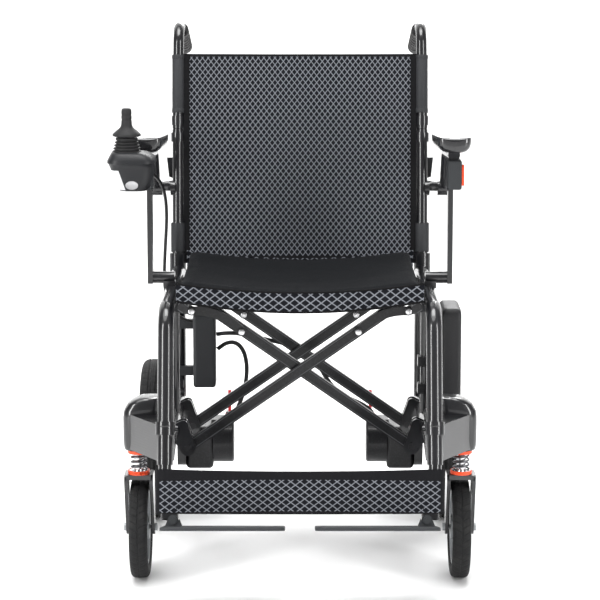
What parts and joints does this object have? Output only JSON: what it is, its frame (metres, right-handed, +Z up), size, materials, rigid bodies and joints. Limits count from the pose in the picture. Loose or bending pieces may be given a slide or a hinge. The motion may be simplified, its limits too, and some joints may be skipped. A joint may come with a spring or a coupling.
{
  "type": "power wheelchair",
  "caption": "Folding power wheelchair with cross-bar frame, sling seat and back, sprung front casters, hub-driven rear wheels, flip-up armrests and a joystick.",
  "frame": {"origin": "middle of the whole chair's box, on the floor", "axes": "+Z up, -Y to the front of the chair, +X to the left hand of the person sitting in it"},
  "size_m": [0.6382, 0.8592, 0.948],
  "materials": {
    "frame_black": "gloss black, woven look under the lacquer",
    "bar_black": "satin black",
    "fabric": "open mesh with black borders",
    "grip_rubber": "matte",
    "pad": "glossy moulded foam",
    "latch_plastic": "fine texture",
    "orange": "plain",
    "case_plastic": "fine texture",
    "bright_steel": "bright",
    "spring_steel": "dark",
    "fork_black": "gloss black",
    "tyre": "matte",
    "rim": "silver grey",
    "motor_black": "satin",
    "red": "plain",
    "button": "plain",
    "cable": "matte"
  },
  "bodies": {
    "left_frame": {"left_side_frame": "frame_black", "left_leg_tube": "frame_black", "left_back_post": "frame_black", "left_drive_motor": "motor_black", "controller_box": "case_plastic", "calf_strap": "fabric", "back_sling_lower": "fabric", "joystick_cable": "cable", "motor_cable_left": "cable", "motor_cable_right": "cable"},
    "bar_a": {"cross_bars_a": "bar_black"},
    "bar_b": {"cross_bars_b": "bar_black"},
    "right_frame": {"right_side_frame": "frame_black", "right_leg_tube": "frame_black", "right_back_post": "frame_black", "right_drive_motor": "motor_black", "battery_bracket": "frame_black"},
    "seat": {"seat_cushion": "fabric"},
    "left_link": {"left_links": "bar_black"},
    "right_link": {"right_links": "bar_black"},
    "left_back": {"left_back_cane": "frame_black", "left_push_grip": "grip_rubber", "back_sling_upper": "fabric"},
    "right_back": {"right_back_cane": "frame_black", "right_push_grip": "grip_rubber"},
    "left_armrest": {"left_armrest_frame": "frame_black", "left_armrest_pad": "pad", "left_armrest_latch": "latch_plastic", "joystick_housing": "case_plastic", "joystick_cover": "case_plastic", "joystick_boot": "grip_rubber"},
    "right_armrest": {"right_armrest_frame": "frame_black", "right_armrest_pad": "pad", "right_armrest_latch": "latch_plastic"},
    "left_lever": {"left_release_lever": "orange"},
    "right_lever": {"right_release_lever": "orange"},
    "yoke": {"joystick_yoke": "bright_steel"},
    "knob": {"joystick_knob": "case_plastic"},
    "power": {"power_button": "red"},
    "horn": {"horn_button": "button"},
    "rocker": {"speed_rocker": "case_plastic"},
    "battery": {"battery_case": "case_plastic"},
    "left_suspension": {"left_caster_stem": "bright_steel", "left_caster_spring": "spring_steel"},
    "left_fork": {"left_caster_fork": "fork_black"},
    "left_caster": {"left_caster_rim": "rim", "left_caster_tyre": "tyre"},
    "left_wheel": {"left_rear_hub": "rim", "left_rear_tyre": "tyre"},
    "left_foot": {"left_footplate": "latch_plastic"},
    "left_clutch": {"left_clutch_lever": "red"},
    "right_suspension": {"right_caster_stem": "bright_steel", "right_caster_spring": "spring_steel"},
    "right_fork": {"right_caster_fork": "fork_black"},
    "right_caster": {"right_caster_rim": "rim", "right_caster_tyre": "tyre"},
    "right_wheel": {"right_rear_hub": "rim", "right_rear_tyre": "tyre"},
    "right_foot": {"right_footplate": "latch_plastic"},
    "right_clutch": {"right_clutch_lever": "red"}
  },
  "joints": [
    {"name": "frame_fold", "type": "hinge", "parent": "left_frame", "child": "bar_a", "pos_m": [-0.1881, -0.04988, 0.213], "axis": [0, -1, 0], "range_deg": [0, 35.16], "deforming": ["seat_cushion", "back_sling_lower", "back_sling_upper", "calf_strap", "motor_cable_right"]},
    {"name": "cross_pivot", "type": "hinge", "parent": "bar_a", "child": "bar_b", "pos_m": [0.0109, -0.04988, 0.3515], "axis": [0, -1, 0], "range_deg": [-70.34, 0]},
    {"name": "right_frame_pivot", "type": "hinge", "parent": "bar_b", "child": "right_frame", "pos_m": [0.2099, -0.04988, 0.213], "axis": [0, -1, 0], "range_deg": [0, 35.17]},
    {"name": "seat_pivot", "type": "hinge", "parent": "bar_a", "child": "seat", "pos_m": [0.2099, -0.04988, 0.49], "axis": [0, -1, 0], "range_deg": [-35.17, 0]},
    {"name": "left_link_pivot", "type": "hinge", "parent": "bar_b", "child": "left_link", "pos_m": [-0.09207, -0.04988, 0.42316], "axis": [0, -1, 0], "range_deg": [0, 129.91]},
    {"name": "right_link_pivot", "type": "hinge", "parent": "bar_a", "child": "right_link", "pos_m": [0.11387, -0.04988, 0.42316], "axis": [0, -1, 0], "range_deg": [-129.91, 0]},
    {"name": "back_fold", "type": "hinge", "parent": "left_frame", "child": "left_back", "pos_m": [-0.2176, 0.26412, 0.74904], "axis": [-1, 0, 0], "range_deg": [0, 120], "deforming": ["back_sling_upper"]},
    {"name": "right_back_fold", "type": "hinge", "parent": "right_frame", "child": "right_back", "pos_m": [0.2394, 0.26412, 0.74904], "axis": [-1, 0, 0], "range_deg": [0, 120.01]},
    {"name": "left_armrest_flip", "type": "hinge", "parent": "left_frame", "child": "left_armrest", "pos_m": [-0.2601, 0.23191, 0.642], "axis": [-1, 0, 0], "range_deg": [0, 100], "deforming": ["joystick_cable"]},
    {"name": "left_release", "type": "hinge", "parent": "left_armrest", "child": "left_lever", "pos_m": [-0.2721, -0.02788, 0.709], "axis": [1, 0, 0], "range_deg": [0, 30], "stiffness_Nm_per_rad": 0.15},
    {"name": "left_suspension_slide", "type": "slide", "parent": "left_frame", "child": "left_suspension", "axis": [0, 0, 1], "range_m": [0, 0.015], "stiffness_N_per_m": 14000, "springref_m": -0.012, "deforming": ["left_caster_spring"]},
    {"name": "left_caster_swivel", "type": "hinge", "parent": "left_suspension", "child": "left_fork", "pos_m": [-0.2681, -0.17488, 0.19], "axis": [0, 0, 1], "continuous": true},
    {"name": "left_caster_roll", "type": "hinge", "parent": "left_fork", "child": "left_caster", "pos_m": [-0.2681, -0.13988, 0.089], "axis": [1, 0, 0], "continuous": true},
    {"name": "left_wheel_roll", "type": "hinge", "parent": "left_frame", "child": "left_wheel", "pos_m": [-0.2911, 0.27712, 0.1525], "axis": [1, 0, 0], "continuous": true},
    {"name": "left_foot_flip", "type": "hinge", "parent": "left_frame", "child": "left_foot", "pos_m": [-0.2011, -0.31417, 0.147], "axis": [0, -0.9703, 0.2419], "range_deg": [0, 90.01]},
    {"name": "left_clutch_turn", "type": "hinge", "parent": "left_frame", "child": "left_clutch", "pos_m": [-0.1236, 0.26512, 0.203], "axis": [-1, 0, 0], "range_deg": [0, 55]},
    {"name": "right_armrest_flip", "type": "hinge", "parent": "right_frame", "child": "right_armrest", "pos_m": [0.2819, 0.23191, 0.642], "axis": [-1, 0, 0], "range_deg": [0, 100]},
    {"name": "right_release", "type": "hinge", "parent": "right_armrest", "child": "right_lever", "pos_m": [0.2939, -0.02788, 0.709], "axis": [1, 0, 0], "range_deg": [0, 30], "stiffness_Nm_per_rad": 0.15},
    {"name": "right_suspension_slide", "type": "slide", "parent": "right_frame", "child": "right_suspension", "axis": [0, 0, 1], "range_m": [0, 0.015], "stiffness_N_per_m": 14000, "springref_m": -0.012, "deforming": ["right_caster_spring"]},
    {"name": "right_caster_swivel", "type": "hinge", "parent": "right_suspension", "child": "right_fork", "pos_m": [0.2899, -0.17488, 0.19], "axis": [0, 0, 1], "continuous": true},
    {"name": "right_caster_roll", "type": "hinge", "parent": "right_fork", "child": "right_caster", "pos_m": [0.2899, -0.13988, 0.089], "axis": [1, 0, 0], "continuous": true},
    {"name": "right_wheel_roll", "type": "hinge", "parent": "right_frame", "child": "right_wheel", "pos_m": [0.3129, 0.27712, 0.1525], "axis": [1, 0, 0], "continuous": true},
    {"name": "right_foot_flip", "type": "hinge", "parent": "right_frame", "child": "right_foot", "pos_m": [0.2229, -0.31417, 0.147], "axis": [0, 0.9703, -0.2419], "range_deg": [0, 90.01]},
    {"name": "right_clutch_turn", "type": "hinge", "parent": "right_frame", "child": "right_clutch", "pos_m": [0.1454, 0.26512, 0.203], "axis": [-1, 0, 0], "range_deg": [0, 55]},
    {"name": "joystick_fore_aft", "type": "hinge", "parent": "left_armrest", "child": "yoke", "pos_m": [-0.2861, -0.12188, 0.726], "axis": [1, 0, 0], "range_deg": [-15, 15], "stiffness_Nm_per_rad": 0.3, "deforming": ["joystick_boot"]},
    {"name": "joystick_side", "type": "hinge", "parent": "yoke", "child": "knob", "pos_m": [-0.2861, -0.12188, 0.726], "axis": [0, 1, 0], "range_deg": [-15, 15], "stiffness_Nm_per_rad": 0.3, "deforming": ["joystick_boot"]},
    {"name": "power_press", "type": "slide", "parent": "left_armrest", "child": "power", "axis": [0, 0, -1], "range_m": [0, 0.0012], "stiffness_N_per_m": 400},
    {"name": "horn_press", "type": "slide", "parent": "left_armrest", "child": "horn", "axis": [0, 0, -1], "range_m": [0, 0.0012], "stiffness_N_per_m": 400},
    {"name": "speed_rock", "type": "hinge", "parent": "left_armrest", "child": "rocker", "pos_m": [-0.2641, -0.08588, 0.73856], "axis": [0, 1, 0], "range_deg": [-3, 3], "stiffness_Nm_per_rad": 0.05},
    {"name": "battery_lift", "type": "slide", "parent": "right_frame", "child": "battery", "axis": [0, 0, 1], "range_m": [0, 0.12]}
  ],
  "couplings": [
    {"joint": "cross_pivot", "follows": "frame_fold", "ratio": -2},
    {"joint": "right_frame_pivot", "follows": "frame_fold", "ratio": 1},
    {"joint": "seat_pivot", "follows": "frame_fold", "ratio": -1},
    {"joint": "left_link_pivot", "follows": "frame_fold", "ratio": 3.6942},
    {"joint": "right_link_pivot", "follows": "frame_fold", "ratio": -3.6942},
    {"joint": "left_foot_flip", "follows": "frame_fold", "ratio": 2.5595},
    {"joint": "right_foot_flip", "follows": "frame_fold", "ratio": 2.5595},
    {"joint": "right_back_fold", "follows": "back_fold", "ratio": 1}
  ]
}
